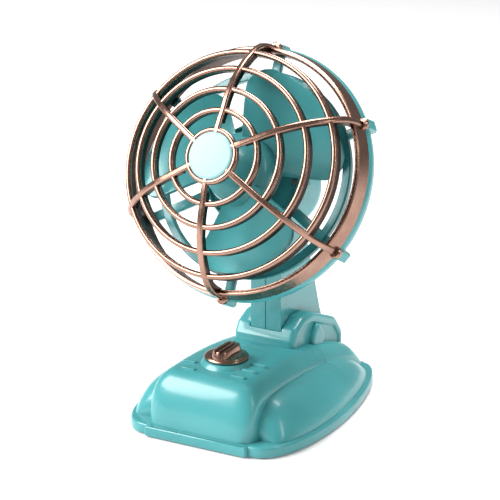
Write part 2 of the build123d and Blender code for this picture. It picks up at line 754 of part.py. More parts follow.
# ---------------------------------------------------------------- rear guard
with BuildPart() as rear_guard:
    with BuildSketch(meridian(0)):
        back = -hoop_depth - rim_depth
        outer = hoop_radius + hoop_flare
        seat = outer - hoop_wall - 2 * snug
        with BuildLine():
            Polyline(
                (seat - 1.8, -hoop_depth + 1.2), (seat - 0.9, -hoop_depth + 1.2), (seat - 0.2, -hoop_depth - snug),
                (outer + 0.2, -hoop_depth - snug), (outer + 0.6, -hoop_depth - 2), (outer + 0.3, back),
                (outer - 1.6, back), (outer - 1.8, -hoop_depth - 2), (seat - 1.8, -hoop_depth - 2),
                close=True,
            )
        make_face()
        with Locations(((inner_ring + 3.5 / 2), guard_back + 1.5)):
            Rectangle(3.5, 3.0)
        with Locations((motor_plate / 2 + 1.5, guard_back + 0.9)):
            Rectangle(motor_plate - 3.0, 1.8)
    revolve(axis=head_axis)
    for angle in rib_angles:
        with BuildSketch(meridian(angle)):
            with Locations(((inner_ring + 1 + outer - 2) / 2, guard_back + 1.9)):
                Rectangle(outer - 3 - inner_ring, 3.2)
            with Locations(((motor_plate - 1 + inner_ring + 1) / 2, guard_back + 1.0)):
                Rectangle(inner_ring + 2 - motor_plate, 2.0)
        extrude(amount=spoke_width / 2, both=True)
        # hook lug behind each end of the front grille's ribs
        with BuildSketch(meridian(angle)):
            with BuildLine():
                Polyline(
                    (outer - 0.4, -hoop_depth - 2 * snug), (outer + 2.0, -hoop_depth - 2 * snug),
                    (outer + 2.6, back - 2), (outer + 1.6, back - 4), (outer - 1.2, back - 3.4),
                    (outer - 1.2, back + 0.5), close=True,
                )
            make_face()
        extrude(amount=2.1, both=True)
    with BuildSketch(head.offset(guard_back)):
        with Locations((guard_screw_reach, 0), (-guard_screw_reach, 0)):
            Circle(guard_screw_radius + 0.15)
    extrude(amount=3, mode=Mode.SUBTRACT)
export(rear_guard.part, "rear_guard")

export(
    screws(
        Plane(origin=head.from_local_coords((0, 0, guard_back + 1.8)), x_dir=(1, 0, 0), z_dir=-head.z_dir),
        [(guard_screw_reach, 0), (-guard_screw_reach, 0)], 6.5, 1.6, 1.1, guard_screw_radius,
    ),
    "guard_screws",
)

# ---------------------------------------------------------------- impeller
blade_spread = 88.0       # degrees that a blade covers
blade_pitch = 21.0        # degrees at the blade's middle radius
first_blade = 48.0
with BuildPart() as impeller:
    with BuildSketch(meridian(0)):
        with BuildLine():
            Polyline((0, hub_back), (hub_radius, hub_back), (hub_radius, hub_front - 6.5))
            ThreePointArc(
                (hub_radius, hub_front - 6.5), (hub_radius * 0.82, hub_front - 2.3), (hub_tip, hub_front)
            )
            Polyline((hub_tip, hub_front), (0, hub_front), (0, hub_back))
        make_face()
    revolve(axis=head_axis)
    with BuildSketch(meridian(0)):
        with BuildLine():
            Polyline(
                (3.0, hub_back), (hub_radius - 1.6, hub_back), (hub_radius - 1.6, hub_front - 7.0),
                (3.0, hub_front - 3.5), close=True,
            )
        make_face()
    revolve(axis=head_axis, mode=Mode.SUBTRACT)
    with BuildSketch(head.offset(hub_back)):
        Circle(shaft_radius)
    extrude(amount=shaft_front - hub_back, mode=Mode.SUBTRACT)
    for blade in range(blade_count):
        add(blade_solid(first_blade + 360 / blade_count * blade))
export(impeller.part, "impeller")

# ---------------------------------------------------------------- front grille and cap
with BuildPart() as front_grille:
    with BuildSketch(meridian(0)):
        for radius, depth in rings:
            web = 2.4 + 1.6 * radius / hoop_radius
            with Locations((radius, depth - web / 2)):
                RectangleRounded(bead, web, 0.6)
        # hoop: a flared wall with a rounded lip turned in at its front
        with BuildLine():
            Polyline(
                (hoop_radius - 2.2, 0.4), (hoop_radius - 0.6, 0.6), (hoop_radius, 0),
                (hoop_radius + hoop_flare, -hoop_depth), (hoop_radius + hoop_flare - hoop_wall, -hoop_depth),
                (hoop_radius - hoop_wall, -1.4), (hoop_radius - 2.2, -1.2), close=True,
            )
        make_face()
        # hub that the cap seats in
        with Locations((rings[0][0] / 2, rings[0][1] - 2.6)):
            Rectangle(rings[0][0], 1.6)
    revolve(axis=head_axis)
    for angle in rib_angles:
        with BuildSketch(meridian(angle)):
            with BuildLine():
                front = Spline(*[(r, d) for r, d in rib_line])
                back_line = Spline(*[(r - lean, d - sink) for (r, d), (lean, sink) in zip(rib_line, rib_back)])
                Line(front @ 0, back_line @ 0)
                Line(front @ 1, back_line @ 1)
            make_face()
        extrude(amount=rib_width / 2, both=True)
        # collar bead round the end of the rib
        out = meridian(angle)
        with BuildSketch(Plane(origin=out.from_local_coords((rib_line[-1][0] - 1.0, -4.0, 0)), z_dir=head.z_dir)):
            Circle(2.1)
        extrude(amount=-1.2)
    with BuildSketch(head.offset(rings[0][1] - 1.8)):
        Circle(cap_radius + snug)
    extrude(amount=4, mode=Mode.SUBTRACT)
export(front_grille.part, "front_grille")

with BuildPart() as centre_cap:
    with BuildSketch(meridian(0)):
        with BuildLine():
            base_depth = rings[0][1] - 1.8
            Polyline((0, base_depth + 2.4), (0, base_depth), (cap_radius, base_depth), (cap_radius, base_depth + 1.5))
            ThreePointArc(
                (cap_radius, base_depth + 1.5), (cap_radius - 0.4, base_depth + 2.0), (cap_radius - 1.1, base_depth + 2.2)
            )
            Polyline((cap_radius - 1.1, base_depth + 2.2), (cap_radius / 2, base_depth + 2.35), (0, base_depth + 2.4))
        make_face()
    revolve(axis=head_axis)
export(centre_cap.part, "centre_cap")
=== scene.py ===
# %% [markdown]
# # A small desk fan
# A caged head with three paddle blades tilts on a deep neck, in a saddle on a rounded
# base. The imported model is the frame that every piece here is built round: it gives the
# places, and this script gives the surfaces. Lengths are in metres, +Z is up and the fan
# blows towards -Y.

# %% The frame
import json
from math import atan2, cos, pi, radians, sin

import bpy
from mathutils import Matrix, Vector


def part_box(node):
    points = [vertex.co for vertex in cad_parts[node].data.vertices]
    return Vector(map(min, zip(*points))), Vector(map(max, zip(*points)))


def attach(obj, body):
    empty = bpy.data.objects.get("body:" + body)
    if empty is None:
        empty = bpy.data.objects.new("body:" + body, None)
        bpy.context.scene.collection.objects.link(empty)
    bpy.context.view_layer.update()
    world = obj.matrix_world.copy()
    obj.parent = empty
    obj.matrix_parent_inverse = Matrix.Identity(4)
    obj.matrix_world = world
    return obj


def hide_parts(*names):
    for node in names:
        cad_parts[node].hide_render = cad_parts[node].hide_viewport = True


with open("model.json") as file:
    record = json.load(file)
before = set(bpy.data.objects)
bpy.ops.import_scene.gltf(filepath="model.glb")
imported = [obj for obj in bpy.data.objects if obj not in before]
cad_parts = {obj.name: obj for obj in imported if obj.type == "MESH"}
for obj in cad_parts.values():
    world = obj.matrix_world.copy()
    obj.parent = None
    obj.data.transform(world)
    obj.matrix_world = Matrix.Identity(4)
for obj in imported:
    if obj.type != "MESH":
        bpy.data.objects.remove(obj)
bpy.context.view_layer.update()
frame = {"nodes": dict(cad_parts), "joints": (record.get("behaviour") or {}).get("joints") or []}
print("CAD nodes:", len(frame["nodes"]))

# %% [markdown]
# Sizes are written in millimetres, as on a drawing. The fan's shaft and the tilt pin are
# joints of the model, so the head's axis and the pivot are read from there. The head's own
# space has Z forward along the shaft and the hoop's front edge at Z = 0: pieces of the head
# are modelled upright there and then moved to their place.

# %% Places
mm = 0.001
joints = {joint["name"]: joint for joint in frame["joints"]}
forward = Vector(joints["fan_spin"]["axis"])
hoop_centre = Vector(joints["fan_spin"]["pos_m"])
pivot = Vector(joints["head_tilt"]["pos_m"])
aside = Vector((1, 0, 0))
upward = forward.cross(aside)
head_space = Matrix((aside, upward, forward)).transposed().to_4x4()
head_space.translation = hoop_centre
knob_centre = Vector(joints["knob_turn"]["pos_m"])
rib_count = 6
rib_angles = [30 + 360 / rib_count * i for i in range(rib_count)]
print("head aims up by", round(atan2(forward.z, -forward.y) * 180 / pi, 1), "degrees")

# %% [markdown]
# ## Stage, light and camera
# A pale floor that runs up behind into the same pale tone, one large soft light from the
# front left, a weaker one from the right, and a long lens, as in a small studio.

# %% Stage


def linear(code):
    """Linear RGBA of an sRGB hex value."""
    parts = [int(code[i : i + 2], 16) / 255 for i in (0, 2, 4)]
    return [c / 12.92 if c <= 0.04045 else ((c + 0.055) / 1.055) ** 2.4 for c in parts] + [1.0]


def node(material, kind, links=None, **settings):
    """Add a shader node; settings that name an input set it, the others set the node."""
    tree = material.node_tree
    made = tree.nodes.new("ShaderNode" + kind)
    for name, value in settings.items():
        setattr(made, name, value)
    for name, value in (links or {}).items():
        target = made.inputs[name]
        if isinstance(value, bpy.types.NodeSocket):
            tree.links.new(value, target)
        else:
            target.default_value = value
    return made


def aim(thing, place, target):
    thing.location = place
    thing.rotation_euler = (Vector(target) - Vector(place)).to_track_quat("-Z", "Y").to_euler()


scene = bpy.context.scene
bpy.ops.object.select_all(action="DESELECT")
bpy.ops.mesh.primitive_plane_add(size=8)
floor = bpy.context.object
floor.name = "floor"
floor_paint = bpy.data.materials.new("pale_backdrop_paint")
floor_paint.use_nodes = True
floor_look = {"Base Color": linear("F4F4F4"), "Roughness": 0.9, "Emission Color": linear("FFFFFF"),
              "Emission Strength": 0.12}
for socket, value in floor_look.items():
    floor_paint.node_tree.nodes["Principled BSDF"].inputs[socket].default_value = value
floor.data.materials.append(floor_paint)

world = bpy.data.worlds.new("pale_studio")
scene.world = world
world.use_nodes = True
sky = world.node_tree.nodes["Background"]
sky.inputs["Color"].default_value = linear("FFFFFF")
ray = node(world, "LightPath")
level = node(world, "MapRange", {"Value": ray.outputs["Is Camera Ray"], "To Min": 0.24, "To Max": 1.0})
world.node_tree.links.new(level.outputs["Result"], sky.inputs["Strength"])
scene.view_settings.view_transform = "Standard"


def softbox(name, place, target, width, height, watts):
    light = bpy.data.lights.new(name, "AREA")
    light.shape = "RECTANGLE"
    light.size = width
    light.size_y = height
    light.energy = watts
    lamp = bpy.data.objects.new(name, light)
    scene.collection.objects.link(lamp)
    aim(lamp, place, target)


middle = (0, 0, 0.07)
softbox("key_light", (-0.65, -0.55, 0.65), middle, 0.8, 0.6, 17)
softbox("side_light", (0.8, -0.1, 0.5), middle, 0.1, 0.5, 1.2)
softbox("top_light", (0.0, 0.25, 0.9), middle, 0.5, 0.3, 8)

camera = bpy.data.objects.new("camera", bpy.data.cameras.new("camera"))
scene.collection.objects.link(camera)
camera.data.lens = 158.4
camera.data.sensor_width = 36
camera.data.clip_start = 0.01
camera_place, camera_target = (0.4038, -0.7392, 0.3468), (0, -0.0074, 0.0688)
aim(camera, camera_place, camera_target)
scene.camera = camera
print("camera distance", round((camera.location - Vector(middle)).length, 3))

# %% [markdown]
# ## Materials
# The shells are glossy injection-moulded ABS: a self-coloured plastic with a polished
# mould's gloss, a faint unevenness left by cooling, and a little handling wear. The grille
# and knob are ABS too, plated with a bronze-coloured metal, so they are shaded as
# metal with a slightly wavy gloss. Each recipe below is one function with the sizes of its
# pattern in millimetres.

# %% Material recipes


def start_material(name, **values):
    """A new material with the shader's constant values set on its own sockets."""
    material = bpy.data.materials.new(name)
    material.use_nodes = True
    shader = material.node_tree.nodes["Principled BSDF"]
    for socket, value in values.items():
        shader.inputs[socket.replace("_", " ")].default_value = value
    place = node(material, "TexCoord").outputs["Object"]
    return material, shader, place


def join(material, source, shader, socket):
    material.node_tree.links.new(source, shader.inputs[socket])


pattern_low, pattern_high = 0.2, 0.8     # nearly all of a noise pattern lies between these
metal_clouds_mm = 9


def set_shades(ramp, dark, light):
    """Two close shades on a ramp, eased so that no edge shows between them."""
    ramp.interpolation = "EASE"
    for element, position, code in zip(ramp.elements, (0.25, 0.75), (dark, light)):
        element.position = position
        element.color = linear(code)


def moulded(name, dark, light, rough, grain_mm, grain_depth_mm, clouds_mm=14, **values):
    """Moulded plastic: cloudy shade, uneven gloss, and a fine grain from the mould."""
    material, shader, place = start_material(name, **values)
    cloud_scale, grain_scale = 1 / (clouds_mm * mm), 1 / (grain_mm * mm)
    clouds = node(material, "TexNoise", {"Vector": place, "Scale": cloud_scale, "Detail": 1}).outputs["Fac"]
    grain = node(material, "TexNoise", {"Vector": place, "Scale": grain_scale, "Detail": 2}).outputs["Fac"]
    shade = node(material, "ValToRGB", {"Fac": clouds})
    set_shades(shade.color_ramp, dark, light)
    gloss_range = {"From Min": pattern_low, "From Max": pattern_high, "To Min": rough[0], "To Max": rough[1]}
    gloss = node(material, "MapRange", {"Value": clouds, **gloss_range}, interpolation_type="SMOOTHSTEP")
    bump = node(material, "Bump", {"Height": grain, "Distance": grain_depth_mm * mm, "Strength": 1.0})
    join(material, shade.outputs["Color"], shader, "Base Color")
    join(material, gloss.outputs["Result"], shader, "Roughness")
    join(material, bump.outputs["Normal"], shader, "Normal")
    return material


def metal(name, dark, light, rough, grain_mm, grain_depth_mm, stretch=(1, 1, 1), **values):
    """Metal: a shade that wanders a little, and a finish drawn out along one direction."""
    material, shader, place = start_material(name, Metallic=1.0, **values)
    drawn = node(material, "Mapping", {"Vector": place, "Scale": stretch}).outputs["Vector"]
    cloud_scale, grain_scale = 1 / (metal_clouds_mm * mm), 1 / (grain_mm * mm)
    clouds = node(material, "TexNoise", {"Vector": place, "Scale": cloud_scale, "Detail": 2}).outputs["Fac"]
    grain = node(material, "TexNoise", {"Vector": drawn, "Scale": grain_scale, "Detail": 3}).outputs["Fac"]
    shade = node(material, "ValToRGB", {"Fac": clouds})
    set_shades(shade.color_ramp, dark, light)
    gloss_range = {"From Min": pattern_low, "From Max": pattern_high, "To Min": rough[0], "To Max": rough[1]}
    gloss = node(material, "MapRange", {"Value": grain, **gloss_range}, interpolation_type="SMOOTHSTEP")
    bump = node(material, "Bump", {"Height": grain, "Distance": grain_depth_mm * mm, "Strength": 1.0})
    join(material, shade.outputs["Color"], shader, "Base Color")
    join(material, gloss.outputs["Result"], shader, "Roughness")
    join(material, bump.outputs["Normal"], shader, "Normal")
    return material


# ABS moulded in a polished mould: even turquoise with clear soft highlights. The mould's
# own grain is too fine to show, so it is drawn nearly a millimetre across.
glossy_abs = moulded("glossy_turquoise_abs", "429A9D", "4AA3A6", (0.26, 0.33), 0.9, 0.003, clouds_mm=22,
                     IOR=1.53, Coat_Weight=0.25, Coat_Roughness=0.08)
# ABS from a spark-eroded mould: dull and dark, for pieces that nobody polishes.
inner_abs = moulded("matte_dark_turquoise_abs", "1B4A4D", "225558", (0.5, 0.62), 0.5, 0.03, IOR=1.53)
# The cap's pale ABS has a satin mould, so it spreads the light instead of mirroring it.
pale_abs = moulded("satin_pale_turquoise_abs", "93C3C7", "9CCBCF", (0.3, 0.42), 0.6, 0.01, IOR=1.53)
# Metal plated on smooth ABS: bright bronze highlights, a little wavy as plating is.
bronze_plated = metal("bronze_plated_abs", "9C7868", "AB8777", (0.2, 0.3), 2.2, 0.004)
# The same plating with painted shade: darker bronze for the webs between the bars, where shade falls.
painted_shade_bronze = metal("painted_shade_bronze_plated_abs", "3A2720", "4B342A", (0.3, 0.42), 2.2, 0.004)
# Steel with a zinc coat: grey, drawn out along one direction by rolling.
zinc_steel = metal("zinc_plated_steel", "A5A6A6", "BDBEBD", (0.25, 0.42), 0.5, 0.02, (1, 1, 6))
# Brass pressed from powder: warm and dull, with fine pores.
sintered_brass = metal("sintered_brass", "A98542", "C09B54", (0.35, 0.55), 0.35, 0.04)
# Ferrite fired from powder: nearly black, like dark unglazed pottery.
ferrite = moulded("sintered_ferrite", "232325", "303033", (0.6, 0.75), 0.4, 0.05, IOR=1.8)
# Black ABS with a matt mould: no clear highlight.
black_abs = moulded("matte_black_abs", "141515", "1C1D1D", (0.45, 0.6), 0.5, 0.03, IOR=1.53)
# Nylon moulded without dye: milky and slightly waxy.
natural_nylon = moulded("natural_nylon", "DDD9CB", "E8E5D9", (0.4, 0.52), 0.6, 0.02, IOR=1.53)
# Silicone rubber moulded matt so that it grips: dark and without shine.
foot_rubber = moulded("black_silicone_rubber", "17191A", "1F2223", (0.7, 0.85), 0.4, 0.04, IOR=1.45)
# Paper pressed with phenolic resin: brown, a little uneven.
board_laminate = moulded("phenolic_board", "7A5B2B", "8C6A36", (0.5, 0.65), 0.5, 0.02, IOR=1.55)
# Film shrunk round a cell: smooth and fairly glossy.
cell_film = moulded("printed_film_jacket", "3B4044", "454B50", (0.28, 0.38), 1.2, 0.01, IOR=1.5)
print("materials:", len(bpy.data.materials))

# %% [markdown]
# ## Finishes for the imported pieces
# Pieces that stay as the model made them, most of them inside, get their finish here.

# %% Finishes of the CAD nodes
finishes = {
    glossy_abs: "base_shell saddle neck_left neck_right rear_guard impeller",
    inner_abs: "base_plate battery_door battery_box",
    pale_abs: "centre_cap",
    bronze_plated: "front_grille speed_knob",
    zinc_steel: "base_screws battery_contacts tilt_pin neck_screws motor_can motor_rotor motor_shaft "
                "guard_screws",
    sintered_brass: "motor_bush",
    ferrite: "motor_magnets",
    black_abs: "rotary_switch motor_end_bell",
    natural_nylon: "switch_shaft friction_washers",
    foot_rubber: "rubber_feet motor_sleeve",
    board_laminate: "switch_board",
    cell_film: "battery_cells",
}
for material, names in finishes.items():
    for name in names.split():
        cad = frame["nodes"][name]
        cad.data.materials.clear()
        cad.data.materials.append(material)
print("nodes finished:", sum(len(names.split()) for names in finishes.values()))

# %% [markdown]
# ## Modelling helpers
# Most pieces of a fan's head are turned or bent from one outline. An outline is drawn in
# edit mode by extruding a vertex from point to point. Spinning it gives a turned piece, and
# bridging two outlines gives a strip that can be extruded into a bar.

# %% Helpers


def edit(mode="VERT"):
    bpy.ops.object.mode_set(mode="EDIT")
    bpy.ops.mesh.select_mode(type=mode)


def draw_line(points):
    """Extrude the selected vertex along points, given in millimetres."""
    here = Vector(points[0]) * mm
    for point in points[1:]:
        there = Vector(point) * mm
        bpy.ops.mesh.extrude_region_move(TRANSFORM_OT_translate={"value": there - here})
        here = there


def start_at(name, point):
    """A new mesh with one selected vertex, in edit mode."""
    bpy.ops.object.select_all(action="DESELECT")
    bpy.ops.mesh.primitive_plane_add(size=0.01)
    piece = bpy.context.object
    piece.name = name
    edit()
    bpy.ops.mesh.select_all(action="SELECT")
    bpy.ops.mesh.merge(type="CENTER")
    bpy.ops.transform.translate(value=Vector(point) * mm)
    return piece


def tidy(piece, angle=35):
    """Merge doubles, point the faces outwards and shade by angle; ends in object mode."""
    bpy.ops.mesh.select_all(action="SELECT")
    bpy.ops.mesh.remove_doubles(threshold=0.01 * mm)
    bpy.ops.mesh.normals_make_consistent(inside=False)
    bpy.ops.object.mode_set(mode="OBJECT")
    bpy.ops.object.shade_smooth_by_angle(angle=radians(angle))
    return piece


def turned(name, outline, steps=96):
    """Spin a closed outline of (radius, height) points round Z."""
    piece = start_at(name, (outline[0][0], 0, outline[0][1]))
    draw_line([(r, 0, h) for r, h in outline] + [(outline[0][0], 0, outline[0][1])])
    bpy.ops.mesh.select_all(action="SELECT")
    bpy.ops.mesh.remove_doubles(threshold=0.001 * mm)
    bpy.ops.mesh.select_all(action="SELECT")
    bpy.ops.mesh.spin(steps=steps, angle=2 * pi, center=(0, 0, 0), axis=(0, 0, 1))
    return tidy(piece)


def set_in_place(piece, space):
    """Move a piece to its place and leave its object at the origin."""
    piece.matrix_world = space @ piece.matrix_world
    bpy.ops.object.select_all(action="DESELECT")
    piece.select_set(True)
    bpy.context.view_layer.objects.active = piece
    bpy.ops.object.transform_apply(location=True, rotation=True, scale=True)
    return piece


def modify(piece, kind, **settings):
    """Add a modifier and apply it."""
    bpy.context.view_layer.objects.active = piece
    made = piece.modifiers.new(kind.lower(), kind)
    for name, value in settings.items():
        setattr(made, name, value)
    bpy.ops.object.modifier_apply(modifier=made.name)
    return piece


def rounded(piece, width_mm, segments=2, angle=40):
    return modify(piece, "BEVEL", width=width_mm * mm, segments=segments, limit_method="ANGLE",
                  angle_limit=radians(angle), harden_normals=False, use_clamp_overlap=True)


def joined(pieces, name):
    """Make several meshes one piece."""
    bpy.ops.object.select_all(action="DESELECT")
    for piece in pieces:
        piece.select_set(True)
    bpy.context.view_layer.objects.active = pieces[0]
    bpy.ops.object.join()
    pieces[0].name = name
    return pieces[0]


def painted(piece, material):
    piece.data.materials.clear()
    piece.data.materials.append(material)
    return piece


def finish_piece(piece, material, body, slot, *nodes):
    """Give a piece its material, unless its parts have theirs, attach it to its body, and hide the parts it
    replaces.
    """
    if material:
        painted(piece, material)
    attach(piece, body)
    if nodes:
        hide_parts(*nodes)
    print(piece.name, len(piece.data.vertices), "vertices")
    return piece


# %% [markdown]
# ## Front grille
# On the real fan the grille is one moulding: five rings of growing size on a dome, six ribs
# that run over them from the middle, and a hoop that closes it, all plated. The rings are
# turned. A rib is one bar bent over the dome, made once and turned to its five other places.

# %% Grille rings and hoop
rings = [(10.2, 28.5), (18.4, 26.7), (27.1, 25.0), (36.3, 20.5), (44.6, 13.4)]
bead_width = 2.3
web_width = 1.7
web_depth = 3.0          # at the smallest ring; each ring outwards adds web_step
web_step = 0.75


def bead_outline(radius, front, width):
    """A bar with a round front and a flat back."""
    w = width / 2
    crown = [(radius + w * cos(a), front - w + w * sin(a)) for a in [pi * i / 10 for i in range(11)]]
    return crown + [(radius - w * 0.92, front - w - 0.45), (radius - w * 0.7, front - w - 0.65),
                    (radius + w * 0.7, front - w - 0.65), (radius + w * 0.92, front - w - 0.45)]


def web_outline(radius, front, width, depth):
    """The slimmer web behind a bead, which stiffens it; it is painted dark as shade."""
    w = width / 2
    return [(radius - w, front - 1.2), (radius + w, front - 1.2), (radius + w * 0.9, front - depth + 0.2),
            (radius + w * 0.6, front - depth), (radius - w * 0.6, front - depth),
            (radius - w * 0.9, front - depth + 0.2)]


grille_parts = []
for i, (radius, front) in enumerate(rings):
    bead = turned(f"ring_{i}", bead_outline(radius, front, bead_width), 120)
    web = turned(f"web_{i}", web_outline(radius, front, web_width, web_depth + web_step * i), 120)
    # the web takes the bronze with painted shade, darker where shade falls behind the bead
    grille_parts += [painted(bead, bronze_plated), painted(web, painted_shade_bronze)]
hoop_outline = [
    (47.8, 0.0), (48.0, 0.55), (48.7, 0.85), (49.4, 0.8), (49.9, 0.35), (50.05, -0.5), (50.5, -3.2),
    (51.0, -6.5), (49.4, -6.5), (48.9, -3.2), (48.5, -1.2), (48.0, -0.9),
]
grille_parts.append(painted(turned("hoop", hoop_outline, 144), bronze_plated))
# a dark lining inside the hoop: painted shade on the hoop's inner wall
shade_lining = [(48.3, -0.7), (48.9, -0.7), (48.9, -3.0), (49.0, -9.2), (48.8, -9.4), (48.4, -9.4), (48.2, -9.2)]
grille_parts.append(painted(turned("hoop_shade_lining", shade_lining, 144), painted_shade_bronze))
print("rings and hoop:", len(grille_parts))

# %% [markdown]
# The ribs carry the rings, so each is a deep bar with a bronze front and a web behind,
# painted darker as shade. One could follow a curve with a profile, but two matching lines
# bridged into a strip and extruded sideways keep the bar's depth square to its bend. A
# collar caps each end.

# %% Grille ribs and collars
over = [(8.6, 28.6), (14.3, 28.0), (18.4, 27.1), (22.8, 26.6), (27.1, 25.5), (31.9, 23.6), (36.3, 21.0),
        (40.7, 17.8), (44.6, 14.0), (47.6, 10.6), (49.7, 6.8), (50.8, 2.6), (51.3, -2.0), (51.6, -6.4)]


def sunk(points, depth):
    """The same line moved inwards at a right angle to itself."""
    result = []
    for i, (r, h) in enumerate(points):
        before, after = points[max(i - 1, 0)], points[min(i + 1, len(points) - 1)]
        along = Vector((after[0] - before[0], after[1] - before[1])).normalized()
        result.append((r + along.y * depth, h - along.x * depth))
    return result


def bent_bar(name, line, depth, width, bevel):
    """A bar that follows a line in the XZ plane, depth deep and width wide."""
    piece = start_at(name, (line[0][0], -width / 2, line[0][1]))
    draw_line([(r, -width / 2, h) for r, h in line])
    bpy.ops.mesh.select_all(action="SELECT")
    bpy.ops.object.mode_set(mode="OBJECT")
    second = start_at(name + "_back", (sunk(line, depth)[0][0], -width / 2, sunk(line, depth)[0][1]))
    draw_line([(r, -width / 2, h) for r, h in sunk(line, depth)])
    bpy.ops.object.mode_set(mode="OBJECT")
    joined([piece, second], name)
    edit("EDGE")
    bpy.ops.mesh.select_all(action="SELECT")
    bpy.ops.mesh.bridge_edge_loops()
    bpy.ops.mesh.select_all(action="SELECT")
    bpy.ops.mesh.extrude_region_move(TRANSFORM_OT_translate={"value": (0, width * mm, 0)})
    tidy(piece)
    return rounded(piece, bevel, 3, 50)


def turned_copies(piece, angles):
    """The piece turned to each angle round Z, each with its own mesh; the first is itself."""
    copies = []
    for angle in angles:
        copy = piece.copy()
        copy.data = piece.data.copy()
        scene.collection.objects.link(copy)
        copies.append(set_in_place(copy, Matrix.Rotation(radians(angle), 4, "Z")))
    bpy.data.objects.remove(piece)
    return copies


rib = painted(bent_bar("rib", over, 1.7, 2.6, 0.8), bronze_plated)
# painted shade: the rib's web behind its bronze front is the darker bronze
rib_web = painted(bent_bar("rib_web", sunk(over[1:-1], 1.2), 2.9, 1.9, 0.3), painted_shade_bronze)
collar_view = [(2.4, -1.2), (2.5, -0.2), (2.4, 0.5), (1.9, 1.0), (1.0, 1.1), (1.0, -1.2)]
collar_place = Vector((50.9, 0, -5.5))
collar = painted(turned("collar", collar_view, 32), bronze_plated)
set_in_place(collar, Matrix.Translation(collar_place * mm))
for part in (rib, rib_web, collar):
    grille_parts += turned_copies(part, rib_angles)
# the disc in the middle also takes the bronze with painted shade
disc_view = [(0.001, 26.6), (0.001, 25.0), (9.4, 25.0), (10.0, 26.0), (10.0, 26.6)]
hub_disc = painted(turned("hub_disc", disc_view, 64), painted_shade_bronze)
grille = set_in_place(joined(grille_parts + [hub_disc], "front_grille_cage"), head_space)
finish_piece(grille, None, "head", "bronze_plating", "front_grille")

# %% [markdown]
# ## Base shell
# The real base is one moulded shell: a flange that follows the table, a hood with soft
# shoulders, and a swelling fender on each side that meets the hood in a crisp crease. It
# could be sculpted, but sections bridged one after another give smooth surfaces that keep
# to the measured outline. The three shapes are then united, cut open underneath and where
# the saddle and the switch pass through, and given a wall.

# %% Base outline
base_low, base_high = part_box("base_shell")
half_length = base_high.y / mm
flange_top = 4.9
flange_bottom = base_low.z / mm
hood_half = 24.0
flange_middle = -8.0
fender_bulge = 16.8


def flange_reach(side):
    """How far the flange runs forward or back of its middle, and its roundness there."""
    if side < 0:
        return half_length - 1.8 + flange_middle, 2.3
    return half_length - 1.0 - flange_middle, 1.7


def flange_half_width(y):
    reach, power = flange_reach(-1 if y < flange_middle else 1)
    share = min(abs(y - flange_middle) / reach, 1.0)
    return hood_half + fender_bulge * (1 - share**power) ** (1 / power)


def flange_outline():
    """Right half of the base outline from the front bar to the rear bar."""
    points = [(0, -half_length), (22.4, -half_length), (23.0, -half_length + 0.5), (23.2, -half_length + 1.8)]
    for i in range(1, 64):
        t = pi * i / 64
        side = -1 if t < pi / 2 else 1
        reach, power = flange_reach(side)
        out = abs(sin(t)) ** (2 / power) * fender_bulge
        points.append((hood_half + out, flange_middle + side * abs(cos(t)) ** (2 / power) * reach))
    points += [(23.2, half_length - 1.0), (23.0, half_length - 0.4), (22.4, half_length), (0, half_length)]
    return points


def select(kind, test):
    """Select faces, edges or vertices by a test of their place and normal, in edit mode."""
    bpy.ops.mesh.select_all(action="DESELECT")
    bpy.ops.object.mode_set(mode="OBJECT")
    mesh = bpy.context.object.data
    verts = mesh.vertices
    if kind == "FACE":
        for face in mesh.polygons:
            face.select = test(face.center / mm, face.normal)
    elif kind == "EDGE":
        for edge in mesh.edges:
            ends = [verts[i].co / mm for i in edge.vertices]
            edge.select = test(*ends)
    else:
        for vert in verts:
            vert.select = test(vert.co / mm)
    edit(kind)


right = flange_outline()
outline = right + [(-x, y) for x, y in reversed(right) if x > 0]
flange = start_at("flange", (*outline[0], flange_bottom))
draw_line([(x, y, flange_bottom) for x, y in outline] + [(*outline[0], flange_bottom)])
bpy.ops.mesh.select_all(action="SELECT")
bpy.ops.mesh.remove_doubles(threshold=0.01 * mm)
bpy.ops.mesh.edge_face_add()
flange_rise = flange_top - flange_bottom
bpy.ops.mesh.extrude_region_move(TRANSFORM_OT_translate={"value": (0, 0, flange_rise * mm)})
select("FACE", lambda centre, normal: normal.z > 0.9)
bpy.ops.mesh.region_to_loop()
bpy.ops.mesh.bevel(offset=1.1 * mm, segments=4, profile=0.5)
select("FACE", lambda centre, normal: normal.z < -0.9)
bpy.ops.mesh.region_to_loop()
bpy.ops.mesh.bevel(offset=0.4 * mm, segments=2, profile=0.5)
tidy(flange)
print("flange outline points:", len(outline))

# %% [markdown]
# The hood and fenders change shape along the base, so each is drawn as upright sections
# from front to rear and bridged. Sections stand closer together where an end rounds off.

# %% Hood and fenders
hood_end = half_length - 1.4
brow, tail = 11.6, 9.6
knob_y = knob_centre.y / mm


def hood_height(y):
    arch = 27.0 - 0.0023 * (y - knob_y) ** 2
    reach, past = (brow, brow - hood_end - y) if y < 0 else (tail, y - hood_end + tail)
    share = min(max(past / reach, 0.0), 1.0)
    return arch * (1 - share**2.2) ** (1 / 2.2)


def hood_width(y):
    corner, past = (6.5, 6.5 - hood_end - y) if y < 0 else (3.0, y - hood_end + 3.0)
    share = min(max(past / corner, 0.0), 1.0)
    return hood_half - corner * (1 - (1 - share**2) ** 0.5)


def crease_height(y):
    peak = -24.0
    reach, power = (half_length - 33.0, 2.6) if y < peak else (half_length + 15.0, 2.0)
    share = min(abs(y - peak) / reach, 1.0)
    return flange_top + 15.0 * (1 - share**power) ** (1 / power)


